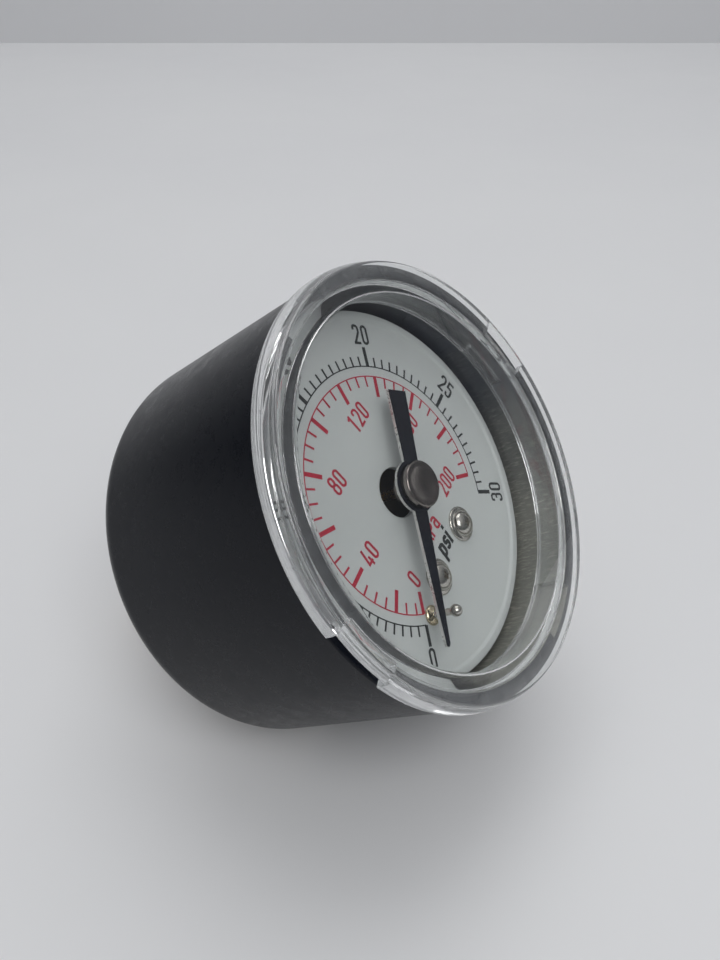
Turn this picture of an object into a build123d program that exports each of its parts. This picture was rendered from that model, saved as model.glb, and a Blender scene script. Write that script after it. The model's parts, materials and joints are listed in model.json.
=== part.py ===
from build123d import *
import math
import os

# Small dial pressure gauge, 40 mm nominal, centre-back connection.
# Millimetres. X is to the right of the dial, Z is the dial's 12 o'clock, and the
# dial faces -Y. The origin is on the stem's axis at the shoulder of the thread.

os.makedirs("parts", exist_ok=True)

# ---------------------------------------------------------------- dimensions
# connection
THREAD_R = 4.864          # G 1/8, major diameter 9.728
THREAD_PITCH = 0.907
THREAD_DEPTH = 0.581
THREAD_LEN = 10.5
INLET_R = 1.5
HEX_AF = 12.0

# case
CASE_R = 20.85
CASE_IR = 19.4
CASE_BACK_Y = -9.5        # outer face of the back
CASE_BACK_T = 1.0
CASE_RIM_Y = -34.28
CASE_REAR_FILLET = 2.2
CASE_HOLE_R = 7.2
CASE_SCREW_X = 9.6
GROOVE_R = 20.15
GROOVE_Y0, GROOVE_Y1 = -31.75, -33.0
LUG_HALF = 7.5            # degrees
ENTRY_HALF = 9.5

# window
WIN_FRONT_Y = -36.66
WIN_BACK_Y = -34.86
FLANGE_R = 21.25
FLANGE_FRONT_R = 20.82
FLANGE_BACK_Y = -34.33
SKIRT_R, SKIRT_IR = 19.25, 18.1
SKIRT_END_Y = -31.9
LUG_R = 20.0
LUG_Y0, LUG_Y1 = -31.98, -32.75
RECESS_HALF = 8.5
RECESS_DEPTH = 1.0

# dial
DIAL_Y = -28.7            # front face
DIAL_T = 0.5
DIAL_R = 18.7
DIAL_LIP_R = 17.75        # raised ring inside the edge
DIAL_LIP_H = 0.22
DIAL_HOLE_R = 2.5
SCREW_X, SCREW_Z = 3.65, -8.5
PIN_R_AT, PIN_ANGLE = 12.2, 231.3

# pointer
POINTER_ANGLE = 225.0     # rest, at zero
POINTER_Y0, POINTER_Y1 = -30.75, -31.1
POINTER_TIP_R = 15.25
TAIL_R = 9.62
HUB_R = 2.3
HUB_FRONT_Y = -32.05

# movement
MODULE = 0.18
PINION_TEETH = 12
SECTOR_TEETH = 108        # of the full circle
SECTOR_SWING = 30.0
POINTER_SWING = 270.0
PITCH_RP = MODULE * PINION_TEETH / 2
PITCH_RS = MODULE * SECTOR_TEETH / 2
CENTRE_DIST = PITCH_RP + PITCH_RS
PIVOT_ANGLE = -38.0
PX = CENTRE_DIST * math.cos(math.radians(PIVOT_ANGLE))
PZ = CENTRE_DIST * math.sin(math.radians(PIVOT_ANGLE))
FRONT_PLATE = (-25.6, -26.6)
REAR_PLATE = (-19.6, -20.6)
SECTOR_Y = (-23.1, -23.9)
PINION_Y = (-22.7, -24.3)
SPRING_Y = (-21.5, -21.9)
PILLARS = ((-5.2, 3.8), (-5.6, -3.4), (10.1, -2.2))
MOVE_SCREWS = ((-4.9, 0.15), (1.0, -5.3))
TAIL_ARM, TAIL_ANGLE = 3.0, -42.0
TAIL_X = PX + TAIL_ARM * math.cos(math.radians(TAIL_ANGLE))
TAIL_Z = PZ + TAIL_ARM * math.sin(math.radians(TAIL_ANGLE))
LINK_Y = (-24.62, -25.06)
LINK_SLOT = 0.10          # extra clearance of the link's eye on the tube's pin

# bourdon tube
TUBE_R = 14.5
TUBE_RAD, TUBE_AX, TUBE_WALL = 2.2, 7.0, 0.25
TUBE_Y = -21.0
TUBE_START, TUBE_END = 270.0, -17.0
TIP_PIN = (12.686, -4.617)


# ------------------------------------------------------------------- helpers
def pr(sk, y0, y1):
    """Front-view sketch (x, z) made solid from y0 forward to y1 (y1 < y0)."""
    return extrude(Plane.XZ.offset(-y0) * sk, amount=y0 - y1)


def cyl(r, y0, y1, x=0.0, z=0.0):
    return pr(Pos(x, z) * Circle(r), y0, y1)


def box(x0, x1, y0, y1, z0, z1):
    return Pos((x0 + x1) / 2, (y0 + y1) / 2, (z0 + z1) / 2) * Box(abs(x1 - x0), abs(y1 - y0), abs(z1 - z0))


def turned(pts, arc=360.0):
    """Revolve a half profile of (radius, y) points about the Y axis."""
    return revolve(make_face(Polyline(*[(r, y) for r, y in pts], close=True)), axis=Axis.Y, revolution_arc=arc)


def pol(r, a):
    return (r * math.cos(math.radians(a)), r * math.sin(math.radians(a)))


def wedge(r0, r1, a0, a1, y0, y1):
    """Ring sector from angle a0 to a1, counter-clockwise in front view."""
    n = max(2, int(abs(a1 - a0) / 4) + 2)
    out = [pol(r1 / math.cos(math.radians((a1 - a0) / (n - 1) / 2)) if 0 < i < n - 1 else r1, a0 + (a1 - a0) * i / (n - 1)) for i in range(n)]
    pie = make_face(Polyline(*([(0, 0)] + [(x * 1.3, z * 1.3) for x, z in out]), close=True))
    return pr((Circle(r1) - Circle(r0)) & pie, y0, y1)


def poly(pts):
    return make_face(Polyline(*pts, close=True))


def hull(circles, n=28):
    """Outline round a set of (x, z, r) circles."""
    pts = []
    for x, z, r in circles:
        for i in range(n):
            dx, dz = pol(r, 360 * i / n)
            pts.append((round(x + dx, 6), round(z + dz, 6)))
    pts = sorted(set(pts))

    def half(seq):
        h = []
        for p in seq:
            while len(h) > 1 and (h[-1][0] - h[-2][0]) * (p[1] - h[-2][1]) - (h[-1][1] - h[-2][1]) * (p[0] - h[-2][0]) <= 1e-9:
                h.pop()
            h.append(p)
        return h[:-1]
    return poly(half(pts) + half(pts[::-1]))


def one(shape):
    s = shape.solids()
    return s[0] if len(s) == 1 else Compound(children=list(s))


def pan_head(r, h, x, z, y_seat, out=-1, drive=True, shank_r=1.0, shank_len=4.0):
    """Domed pan-head screw. out=-1 points its head to -Y, out=1 to +Y."""
    prof = [(0, 0), (r, 0), (r, h * 0.35), (r * 0.93, h * 0.62), (r * 0.76, h * 0.84), (r * 0.5, h * 0.96), (0, h)]
    pts = [(a, out * b) for a, b in prof]
    head = turned(pts)
    shank = turned([(0, 0), (shank_r, 0), (shank_r, -out * (shank_len - 0.3)), (shank_r - 0.3, -out * shank_len), (0, -out * shank_len)])
    s = head + shank
    if drive:
        w, l = r * 0.22, r * 1.15
        for a in (0, 90):
            s -= Rot(0, a, 0) * box(-l / 2, l / 2, out * h * 0.5, out * h * 1.2, -w / 2, w / 2)
    return Pos(x, y_seat, z) * s


parts = {}

# ---------------------------------------------------------------------- case
outer = [(0, CASE_BACK_Y)]
outer += [(CASE_R - CASE_REAR_FILLET, CASE_BACK_Y)]
for i in range(1, 9):
    a = math.radians(90 * i / 8)
    outer.append((CASE_R - CASE_REAR_FILLET + CASE_REAR_FILLET * math.sin(a), CASE_BACK_Y - CASE_REAR_FILLET + CASE_REAR_FILLET * math.cos(a)))
outer += [(CASE_R, CASE_RIM_Y + 0.25), (CASE_R - 0.25, CASE_RIM_Y), (CASE_IR, CASE_RIM_Y)]
inner_back = CASE_BACK_Y - CASE_BACK_T
FI = 1.3
for i in range(0, 7):
    a = math.radians(90 * i / 6)
    outer.append((CASE_IR - FI + FI * math.cos(a), inner_back - FI + FI * math.sin(a)))
outer += [(0, inner_back)]
case = turned(outer)
case -= cyl(CASE_HOLE_R, CASE_BACK_Y + 1, inner_back - 1)
for sx in (-1, 1):
    case -= cyl(1.4, CASE_BACK_Y + 1, inner_back - 1, sx * CASE_SCREW_X, 0)
for a in (0, 180):
    case -= wedge(CASE_IR - 0.5, GROOVE_R, a - LUG_HALF - 1.0, a + 90 + ENTRY_HALF, GROOVE_Y0, GROOVE_Y1)
    case -= wedge(CASE_IR - 0.5, GROOVE_R, a + 90 - ENTRY_HALF, a + 90 + ENTRY_HALF, GROOVE_Y0, CASE_RIM_Y - 1)
parts["case"] = case

# -------------------------------------------------------------------- window
window = turned([(0, WIN_FRONT_Y), (FLANGE_FRONT_R - 0.35, WIN_FRONT_Y), (FLANGE_FRONT_R - 0.1, WIN_FRONT_Y + 0.1),
                 (FLANGE_FRONT_R, WIN_FRONT_Y + 0.35), (FLANGE_R, FLANGE_BACK_Y - 0.15), (FLANGE_R - 0.15, FLANGE_BACK_Y),
                 (SKIRT_R, FLANGE_BACK_Y), (SKIRT_R, SKIRT_END_Y - 0.15), (SKIRT_R - 0.15, SKIRT_END_Y), (SKIRT_IR + 0.15, SKIRT_END_Y),
                 (SKIRT_IR, SKIRT_END_Y - 0.15), (SKIRT_IR, WIN_BACK_Y + 0.3), (SKIRT_IR - 0.3, WIN_BACK_Y), (0, WIN_BACK_Y)])
for a in (0, 180):
    window -= wedge(SKIRT_R, FLANGE_R + 1, a - RECESS_HALF, a + RECESS_HALF, FLANGE_BACK_Y + 1, FLANGE_BACK_Y - RECESS_DEPTH)
    window += wedge(SKIRT_R - 0.5, LUG_R, a - LUG_HALF, a + LUG_HALF, LUG_Y0, LUG_Y1)
parts["window"] = window

# ---------------------------------------------------------------------- dial
DIAL_BACK_Y = DIAL_Y + DIAL_T
dial = cyl(DIAL_R, DIAL_BACK_Y, DIAL_Y) + pr(Circle(DIAL_R) - Circle(DIAL_LIP_R), DIAL_Y, DIAL_Y - DIAL_LIP_H)
dial -= cyl(DIAL_HOLE_R, DIAL_BACK_Y + 1, DIAL_Y - 1)
for sx in (-1, 1):
    dial -= cyl(1.1, DIAL_BACK_Y + 1, DIAL_Y - 1, sx * SCREW_X, SCREW_Z)
pin_x, pin_z = pol(PIN_R_AT, PIN_ANGLE)
dial -= cyl(0.4, DIAL_BACK_Y + 1, DIAL_Y - 1, pin_x, pin_z)
parts["dial"] = dial

parts["dial_screws"] = Compound(children=[one(pan_head(1.85, 1.05, sx * SCREW_X, SCREW_Z, DIAL_Y, shank_len=4.2, shank_r=0.98)) for sx in (-1, 1)])

# stop pin: riveted foot, thin post, ball head
pin_prof = [(0, 0.35), (0.8, 0.35), (0.8, 0.0), (0.4, 0.0), (0.4, -DIAL_T), (1.0, -DIAL_T), (1.0, -DIAL_T - 0.15), (0.75, -DIAL_T - 0.4), (0.36, -DIAL_T - 0.55)]
ball_c, ball_r = -DIAL_T - 3.45, 0.6
a0 = math.asin(0.36 / ball_r)
for i in range(0, 13):
    a = math.pi - a0 - (math.pi - a0) * i / 12
    pin_prof.append((max(0.0, ball_r * math.sin(a)), ball_c - ball_r * math.cos(a)))
parts["stop_pin"] = Pos(pin_x, DIAL_BACK_Y, pin_z) * turned(pin_prof)

# ------------------------------------------------------------------- pointer
tail_w1, tail_w0, blade_w0, blade_w1 = 1.22, 1.02, 0.9, 0.26
TIP_FLAT = POINTER_TIP_R
outline = [(-TAIL_R, -tail_w1), (-TAIL_R, tail_w1), (0, tail_w0 - 0.1), (2.2, blade_w0), (12.5, 0.42), (TIP_FLAT - 0.25, blade_w1), (TIP_FLAT, blade_w1 - 0.16),
           (TIP_FLAT, -blade_w1 + 0.16), (TIP_FLAT - 0.25, -blade_w1), (12.5, -0.42), (2.2, -blade_w0), (0, -tail_w0 + 0.1)]
pointer_sk = poly(outline) + Circle(2.62) - Circle(0.8)
parts["pointer"] = pr(Rot(0, 0, POINTER_ANGLE) * pointer_sk, POINTER_Y0, POINTER_Y1)

ARBOR_TOP = -31.5
hub = turned([(0, HUB_FRONT_Y), (HUB_R - 0.18, HUB_FRONT_Y), (HUB_R, HUB_FRONT_Y + 0.18), (HUB_R, POINTER_Y1), (0.8, POINTER_Y1), (0.8, POINTER_Y0), (1.35, POINTER_Y0),
              (1.35, -29.3), (1.15, -29.1), (0, -29.1)])
hub -= turned([(0, ARBOR_TOP), (0.40, ARBOR_TOP), (0.5, -29.0), (0, -29.0)])
parts["pointer_hub"] = hub


# --------------------------------------------------------------------- gears
def involute_tooth(rp, rb, ra, rr, half_pitch_angle, steps=5):
    """One flank from root to tip: list of (radius, angle from tooth centre)."""
    def inv(r):
        if r <= rb:
            return 0.0
        c = math.acos(rb / r)
        return math.tan(c) - c
    at_pitch = inv(rp)
    pts = []
    r0 = max(rr, rb)
    if rr < rb:
        pts.append((rr, half_pitch_angle + at_pitch))
    for i in range(steps + 1):
        r = r0 + (ra - r0) * i / steps
        pts.append((r, half_pitch_angle + at_pitch - inv(r)))
    return pts


BACKLASH = 0.022                    # taken off each flank
PHI = math.radians(20)
SHIFT = 0.30 * MODULE               # addendum moved from the sector to the pinion

# pinion: the space between two teeth lies on the line of centres
p_half = math.pi / (2 * PINION_TEETH) + (SHIFT * math.tan(PHI) - BACKLASH) / PITCH_RP
p_flank = involute_tooth(PITCH_RP, PITCH_RP * math.cos(PHI), PITCH_RP + MODULE * 0.95 + SHIFT * 0.8, PITCH_RP - MODULE * 1.2 + SHIFT, p_half)
pts = []
for k in range(PINION_TEETH):
    c = math.radians(PIVOT_ANGLE) + (k + 0.5) * 2 * math.pi / PINION_TEETH
    for r, a in p_flank:
        pts.append((r * math.cos(c - a), r * math.sin(c - a)))
    for r, a in reversed(p_flank):
        pts.append((r * math.cos(c + a), r * math.sin(c + a)))
pinion = pr(poly(pts), *PINION_Y)
arbor = pinion + turned([(0, -19.7), (0.27, -19.7), (0.27, -20.64), (0.5, -20.68), (0.5, -25.5), (0.45, -25.55), (0.45, -26.9), (0.48, -27.0), (0.47, -29.4), (0.39, ARBOR_TOP + 0.02), (0, ARBOR_TOP + 0.02)])
parts["pinion_arbor"] = arbor

parts["hairspring_collet"] = pr(Circle(1.05) - Circle(0.5), -21.1, -22.2)

# sector: teeth about the pivot, the first in mesh at rest on the line of centres
s_half = math.pi / (2 * SECTOR_TEETH) - (SHIFT * math.tan(PHI) + BACKLASH) / PITCH_RS
s_flank = involute_tooth(PITCH_RS, PITCH_RS * math.cos(PHI), PITCH_RS + MODULE * 0.95 - SHIFT, PITCH_RS - MODULE * 1.25 - SHIFT, s_half, 3)
TO_PINION = PIVOT_ANGLE + 180.0
PITCH_DEG = 360.0 / SECTOR_TEETH
pts = []
for k in range(-10, 2):
    c = math.radians(TO_PINION + k * PITCH_DEG)
    for r, a in s_flank:
        pts.append((PX + r * math.cos(c - a), PZ + r * math.sin(c - a)))
    for r, a in reversed(s_flank):
        pts.append((PX + r * math.cos(c + a), PZ + r * math.sin(c + a)))
first, last = TO_PINION - 10.6 * PITCH_DEG, TO_PINION + 1.6 * PITCH_DEG
rim_in, rim_out = 7.9, s_flank[0][0]


def at_pivot(r, a):
    x, z = pol(r, a)
    return (PX + x, PZ + z)


rim = [at_pivot(rim_out, first)] + pts + [at_pivot(rim_out, last)] + [at_pivot(rim_in, last - (last - first) * i / 8) for i in range(9)]
mid = (first + last) / 2
arm = [at_pivot(8.3, mid - 9.5), at_pivot(8.3, mid + 9.5), at_pivot(1.2, mid + 50), at_pivot(1.2, mid - 50)]
sector_sk = poly(rim) + poly(arm) + Pos(PX, PZ) * Circle(1.6) + hull([(PX, PZ, 1.25), (TAIL_X, TAIL_Z, 0.85)])
sector = pr(sector_sk, *SECTOR_Y) - cyl(0.6, -20, -27, PX, PZ) - cyl(0.35, -20, -27, TAIL_X, TAIL_Z)
parts["sector_gear"] = sector
parts["sector_arbor"] = Pos(PX, 0, PZ) * turned([(0, -19.7), (0.37, -19.7), (0.37, -20.64), (1.1, -20.7), (1.1, -23.1), (0.6, -23.1), (0.6, -23.9), (1.0, -23.9), (1.0, -24.4),
                                                (0.7, -24.6), (0.7, -25.55), (0.37, -25.56), (0.37, -26.55), (0, -26.55)])

# ------------------------------------------------------------------- linkage
parts["link_tail_pin"] = Pos(TAIL_X, 0, TAIL_Z) * turned([(0, -22.8), (0.6, -22.8), (0.6, -23.1), (0.35, -23.1), (0.35, -23.9), (0.6, -23.9), (0.6, -24.56), (0.35, -24.58), (0.35, -25.1), (0.65, -25.1), (0.65, -25.3), (0.4, -25.38), (0, -25.38)])
lx, lz = TIP_PIN[0] - TAIL_X, TIP_PIN[1] - TAIL_Z
ll = math.hypot(lx, lz)
link_sk = Pos(TAIL_X, TAIL_Z) * Circle(0.85) + Pos(*TIP_PIN) * Circle(1.0)
nx, nz = -lz / ll * 0.42, lx / ll * 0.42
link_sk += poly([(TAIL_X + nx, TAIL_Z + nz), (TIP_PIN[0] + nx, TIP_PIN[1] + nz), (TIP_PIN[0] - nx, TIP_PIN[1] - nz), (TAIL_X - nx, TAIL_Z - nz)])
link_sk -= Pos(TAIL_X, TAIL_Z) * Circle(0.38)
link_sk -= Pos(*TIP_PIN) * Circle(0.35 + LINK_SLOT)
parts["link"] = pr(link_sk, *LINK_Y)
parts["link_tip_pin"] = Pos(TIP_PIN[0], 0, TIP_PIN[1]) * turned([(0, -23.4), (0.35, -23.4), (0.35, -25.1), (0.85, -25.1), (0.85, -25.3), (0.5, -25.4), (0, -25.4)])

# -------------------------------------------------------------- bourdon tube
def tube_section(rad, ax):
    return Pos(TUBE_R, TUBE_Y) * SlotOverall(ax, rad, rotation=90)


SWEEP = TUBE_START - TUBE_END
# the section lies in XY at +X; turning about +Y carries +X towards -Z (clockwise in front view)
ring_outer = revolve(tube_section(TUBE_RAD, TUBE_AX), axis=Axis.Y, revolution_arc=SWEEP)
ring_inner = revolve(tube_section(TUBE_RAD - 2 * TUBE_WALL, TUBE_AX - 2 * TUBE_WALL), axis=Axis.Y, revolution_arc=SWEEP)
tube = ring_outer - ring_inner
# bring its start to the bottom of the dial
TURN = -TUBE_START
tube = Rot(0, TURN, 0) * tube
tube_full = Rot(0, TURN, 0) * ring_outer
parts["bourdon_tube"] = tube

tip_back, tip_front = TUBE_Y + TUBE_AX / 2, TUBE_Y - TUBE_AX / 2
cap_wedge = poly([(0, 0), pol(40, TUBE_END - 0.02), pol(40, TUBE_END - 8.5)])
cap = pr((Circle(TUBE_R + 1.25) - Circle(TUBE_R - 1.3)) & cap_wedge, tip_back, tip_front)
lug_a = math.degrees(math.atan2(TIP_PIN[1], TIP_PIN[0]))
lug = pr((hull([(TIP_PIN[0], TIP_PIN[1], 0.95), (14.0, -5.75, 0.95)]) & Circle(14.6)) - poly([(0, 0), pol(40, TUBE_END - 0.02), pol(40, TUBE_END + 20)]), -23.3, tip_front)
tip = cap + lug - cyl(0.35, -23.4, -27, *TIP_PIN)
parts["tube_tip"] = tip

# -------------------------------------------------------------------- socket
prof = [(0, THREAD_LEN), (THREAD_R - 0.85, THREAD_LEN), (THREAD_R - 0.1, THREAD_LEN - 0.75)]
y = THREAD_LEN - 0.8
while y - THREAD_PITCH > 1.3:
    prof += [(THREAD_R, y), (THREAD_R, y - 0.24), (THREAD_R - THREAD_DEPTH, y - 0.5 * (THREAD_PITCH + 0.24) + 0.06), (THREAD_R - THREAD_DEPTH, y - 0.5 * (THREAD_PITCH + 0.24) - 0.06)]
    y -= THREAD_PITCH
prof += [(THREAD_R, y), (THREAD_R, 0.0), (0, 0.0)]
stem = turned(prof)
hex_sk = RegularPolygon(HEX_AF / 2, 6, major_radius=False)
hexa = pr(hex_sk, 0.0, CASE_BACK_Y - 0.0)
hexa &= turned([(0, 0.0), (HEX_AF / 2 - 0.1, 0.0), (HEX_AF / 2 + 1.0, -0.6), (HEX_AF / 2 + 1.0, CASE_BACK_Y), (0, CASE_BACK_Y)])
SOCKET_BACK = CASE_BACK_Y - CASE_BACK_T
body = cyl(6.6, CASE_BACK_Y, SOCKET_BACK)
body += pr(RectangleRounded(25.0, 11.5, 2.0), SOCKET_BACK, -14.6)
body += pr(Pos(0, -5.5) * RectangleRounded(13.0, 21.0, 1.0), SOCKET_BACK, REAR_PLATE[0])
foot = pr(Pos(0, -13.2) * RectangleRounded(11.0, 6.2, 0.6), REAR_PLATE[0], -26.0)
socket = stem + hexa + body + foot
for sx in (-1, 1):
    socket += cyl(1.85, -14.6, DIAL_BACK_Y, sx * SCREW_X, SCREW_Z)
    socket -= cyl(1.0, -23.6, DIAL_BACK_Y - 1, sx * SCREW_X, SCREW_Z)
    socket -= cyl(1.25, SOCKET_BACK + 1, -14.2, sx * CASE_SCREW_X, 0)
socket -= tube_full
socket -= box(-0.01, 1.2, -24.1, -17.9, -15.35, -13.65)
socket -= cyl(INLET_R, THREAD_LEN + 1, -18.9)
socket -= Pos(0.6, -18.3, -7.4) * Cylinder(0.55, 13.0)
for x, z in MOVE_SCREWS:
    socket -= cyl(0.8, REAR_PLATE[0] + 2.6, REAR_PLATE[0] - 1, x, z)
parts["socket"] = socket

parts["case_screws"] = Compound(children=[one(pan_head(2.2, 1.3, sx * CASE_SCREW_X, 0, CASE_BACK_Y, out=1, shank_r=1.22, shank_len=4.4)) for sx in (-1, 1)])

# ------------------------------------------------------------ movement plates
plate_sk = hull([(x, z, 1.9) for x, z in PILLARS] + [(PX, PZ, 1.9)])
horns = Pos(SCREW_X, SCREW_Z) * Circle(2.15) + Pos(-SCREW_X, SCREW_Z) * Circle(2.15)
front_sk = plate_sk - horns - Circle(0.5) - Pos(PX, PZ) * Circle(0.42)
rear_sk = plate_sk - horns - Circle(0.32) - Pos(PX, PZ) * Circle(0.42)
for x, z in PILLARS:
    front_sk -= Pos(x, z) * Circle(0.7)
    rear_sk -= Pos(x, z) * Circle(0.55)
for x, z in MOVE_SCREWS:
    rear_sk -= Pos(x, z) * Circle(0.9)
STUD_X, STUD_Z = pol(3.55, 28.0)
rear_sk -= Pos(STUD_X, STUD_Z) * Circle(0.3)
parts["front_plate"] = pr(front_sk, *FRONT_PLATE)
parts["rear_plate"] = pr(rear_sk, *REAR_PLATE)
parts["plate_pillars"] = Compound(children=[one(Pos(x, 0, z) * (turned([(0, REAR_PLATE[0]), (0.55, REAR_PLATE[0]), (0.55, REAR_PLATE[1]), (1.1, REAR_PLATE[1]), (1.1, FRONT_PLATE[0]), (0.45, FRONT_PLATE[0]),
                                                                                (0.45, -23.4), (0, -23.4)]))) for x, z in PILLARS])
parts["plate_screws"] = Compound(children=[one(pan_head(1.2, 0.75, x, z, FRONT_PLATE[1], shank_r=0.43, shank_len=3.0)) for x, z in PILLARS])
parts["movement_screws"] = Compound(children=[one(pan_head(1.25, 0.5, x, z, REAR_PLATE[1], shank_r=0.78, shank_len=3.4)) for x, z in MOVE_SCREWS])

# ---------------------------------------------------------------- hairspring
TURNS, R_IN, R_OUT, STRIP = 4.5, 1.16, 3.28, 0.1
n = int(TURNS * 30)
inner_pts, outer_pts = [], []
end_deg = 28.0
for i in range(n + 1):
    a = end_deg - TURNS * 360 + TURNS * 360 * i / n
    r = R_IN + (R_OUT - R_IN) * i / n
    inner_pts.append(pol(r - STRIP / 2, a))
    outer_pts.append(pol(r + STRIP / 2, a))
parts["hairspring"] = pr(poly(inner_pts + outer_pts[::-1]), *SPRING_Y)
stud = Pos(STUD_X, 0, STUD_Z) * turned([(0, REAR_PLATE[0]), (0.3, REAR_PLATE[0]), (0.3, REAR_PLATE[1]), (0.42, REAR_PLATE[1]), (0.42, -22.1), (0, -22.1)])
stud -= pr(poly(inner_pts + outer_pts[::-1]), -21.45, -22.2)
parts["hairspring_stud"] = stud

# -------------------------------------------------------------------- export
for name, shape in parts.items():
    solids = shape.solids()
    out = solids[0] if len(solids) == 1 else Compound(children=[Solid(s.wrapped) for s in solids])
    out.label = name
    export_step(out, f"parts/{name}.step")
print(len(parts), "nodes; pivot", round(PX, 3), round(PZ, 3), "tail pin", round(TAIL_X, 3), round(TAIL_Z, 3), "link", round(ll, 3))
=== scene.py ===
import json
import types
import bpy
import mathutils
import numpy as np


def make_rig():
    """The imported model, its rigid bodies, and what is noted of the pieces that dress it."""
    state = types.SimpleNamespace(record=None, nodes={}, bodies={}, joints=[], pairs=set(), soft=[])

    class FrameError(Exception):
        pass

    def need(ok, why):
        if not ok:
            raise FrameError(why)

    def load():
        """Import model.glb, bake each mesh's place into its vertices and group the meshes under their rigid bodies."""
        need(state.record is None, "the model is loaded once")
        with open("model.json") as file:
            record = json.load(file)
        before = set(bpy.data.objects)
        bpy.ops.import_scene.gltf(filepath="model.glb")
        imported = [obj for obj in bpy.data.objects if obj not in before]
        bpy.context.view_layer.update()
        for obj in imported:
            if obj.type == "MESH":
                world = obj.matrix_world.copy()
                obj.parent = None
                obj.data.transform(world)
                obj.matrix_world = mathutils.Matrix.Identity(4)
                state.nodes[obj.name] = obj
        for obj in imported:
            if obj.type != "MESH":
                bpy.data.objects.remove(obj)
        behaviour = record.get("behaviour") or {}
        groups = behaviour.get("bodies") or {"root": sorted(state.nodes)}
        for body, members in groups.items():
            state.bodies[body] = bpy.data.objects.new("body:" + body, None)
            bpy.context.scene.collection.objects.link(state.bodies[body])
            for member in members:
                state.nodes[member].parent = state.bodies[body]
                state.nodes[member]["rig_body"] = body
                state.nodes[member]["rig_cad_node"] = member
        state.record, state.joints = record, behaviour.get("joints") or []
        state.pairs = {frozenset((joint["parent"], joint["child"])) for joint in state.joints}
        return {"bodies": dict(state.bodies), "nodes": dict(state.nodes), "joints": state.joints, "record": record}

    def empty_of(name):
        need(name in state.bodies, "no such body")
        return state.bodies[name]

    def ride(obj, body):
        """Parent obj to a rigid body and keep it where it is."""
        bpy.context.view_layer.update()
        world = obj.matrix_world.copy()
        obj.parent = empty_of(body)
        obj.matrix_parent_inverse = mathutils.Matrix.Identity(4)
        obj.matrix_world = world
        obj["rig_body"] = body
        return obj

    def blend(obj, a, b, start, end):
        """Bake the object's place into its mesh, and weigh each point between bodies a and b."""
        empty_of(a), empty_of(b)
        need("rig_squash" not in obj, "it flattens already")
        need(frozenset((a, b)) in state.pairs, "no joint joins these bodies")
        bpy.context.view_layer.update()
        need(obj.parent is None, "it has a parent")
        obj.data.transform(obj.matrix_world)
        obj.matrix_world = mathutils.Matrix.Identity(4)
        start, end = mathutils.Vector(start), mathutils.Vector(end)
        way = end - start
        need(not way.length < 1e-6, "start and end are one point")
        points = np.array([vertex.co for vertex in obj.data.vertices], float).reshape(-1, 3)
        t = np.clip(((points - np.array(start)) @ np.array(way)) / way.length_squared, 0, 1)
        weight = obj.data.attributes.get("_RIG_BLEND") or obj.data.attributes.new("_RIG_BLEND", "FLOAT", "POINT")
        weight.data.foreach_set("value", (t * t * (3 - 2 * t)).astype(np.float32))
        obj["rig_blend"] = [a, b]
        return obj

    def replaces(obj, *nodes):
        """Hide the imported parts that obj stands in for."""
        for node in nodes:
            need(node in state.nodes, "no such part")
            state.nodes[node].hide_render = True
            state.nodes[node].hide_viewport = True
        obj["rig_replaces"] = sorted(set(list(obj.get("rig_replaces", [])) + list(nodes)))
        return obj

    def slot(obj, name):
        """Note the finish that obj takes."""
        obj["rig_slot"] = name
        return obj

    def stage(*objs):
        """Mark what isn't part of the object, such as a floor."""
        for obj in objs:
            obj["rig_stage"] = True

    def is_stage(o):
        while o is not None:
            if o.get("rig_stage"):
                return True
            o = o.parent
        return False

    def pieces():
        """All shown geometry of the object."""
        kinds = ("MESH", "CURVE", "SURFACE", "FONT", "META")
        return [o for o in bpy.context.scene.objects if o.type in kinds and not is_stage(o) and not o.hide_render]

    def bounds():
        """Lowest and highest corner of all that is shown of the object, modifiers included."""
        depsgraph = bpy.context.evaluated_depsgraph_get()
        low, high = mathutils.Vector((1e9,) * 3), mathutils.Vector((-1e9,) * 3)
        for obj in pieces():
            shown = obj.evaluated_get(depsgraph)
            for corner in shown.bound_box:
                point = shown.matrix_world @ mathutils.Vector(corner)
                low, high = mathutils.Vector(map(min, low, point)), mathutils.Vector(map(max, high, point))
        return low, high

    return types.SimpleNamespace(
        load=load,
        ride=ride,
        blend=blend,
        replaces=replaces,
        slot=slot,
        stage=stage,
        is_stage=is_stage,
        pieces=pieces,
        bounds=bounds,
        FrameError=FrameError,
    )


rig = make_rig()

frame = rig.load()
size_at_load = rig.bounds()

import json
import math

import bmesh
import bpy
import numpy as np
from mathutils import Matrix, Vector

MM = 0.001
NODES = frame["nodes"]


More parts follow.
